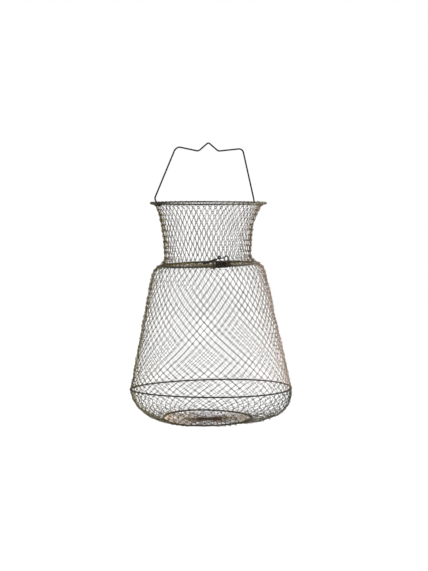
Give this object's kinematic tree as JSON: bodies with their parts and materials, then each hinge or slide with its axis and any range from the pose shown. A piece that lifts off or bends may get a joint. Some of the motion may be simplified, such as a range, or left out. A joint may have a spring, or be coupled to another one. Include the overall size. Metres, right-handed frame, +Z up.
{
  "type": "wire keep net",
  "caption": "Collapsible wire-mesh keep net: flared neck, sprung trap door in the throat, conical body on wire rings and a swinging bail to hang it by.",
  "frame": {"origin": "underside of the bail's peak, where a hook or cord carries the hanging net", "axes": "+Z up through the ring centres, +X along the bail from its left leg to its right leg, -Y towards the side where the trap door is hinged"},
  "size_m": [0.3324, 0.3324, 0.572],
  "materials": {
    "black_wire": "blackened steel wire, satin",
    "netting": null,
    "disc_netting": null,
    "door_wire": "dark brown rusted steel wire",
    "spring_wire": "rusty spring wire"
  },
  "bodies": {
    "bail": {"bail_handle": "black_wire"},
    "mouth": {"mouth_ring": "black_wire", "neck_net": "netting"},
    "throat": {"throat_ring": "black_wire", "body_net": "netting", "door_spring": "spring_wire"},
    "door": {"door_frame": "door_wire", "door_net": "disc_netting", "door_gather_ring": "door_wire"},
    "belly": {"belly_ring": "black_wire", "bowl_net": "netting"},
    "base": {"base_ring": "black_wire", "base_net": "disc_netting", "base_gather_ring": "door_wire"}
  },
  "joints": [
    {"name": "bail_swing", "type": "hinge", "parent": "bail", "child": "mouth", "pos_m": [0, 0, -0.1244], "axis": [1, 0, 0], "range_deg": [-60, 60]},
    {"name": "neck_collapse", "type": "slide", "parent": "mouth", "child": "throat", "axis": [0, 0, 1], "range_m": [0, 0.095], "deforming": ["neck_net"]},
    {"name": "door_swing", "type": "hinge", "parent": "throat", "child": "door", "pos_m": [-0.02777, -0.09252, -0.2449], "axis": [0.9574, -0.2871, 0.0327], "range_deg": [-80, 0], "stiffness_Nm_per_rad": 0.08, "springref_deg": 91.67, "deforming": ["door_spring"]},
    {"name": "body_collapse", "type": "slide", "parent": "throat", "child": "belly", "axis": [0, 0, 1], "range_m": [0, 0.21], "deforming": ["body_net"]},
    {"name": "bowl_collapse", "type": "slide", "parent": "belly", "child": "base", "axis": [0, 0, 1], "range_m": [0, 0.045], "deforming": ["bowl_net"]}
  ]
}
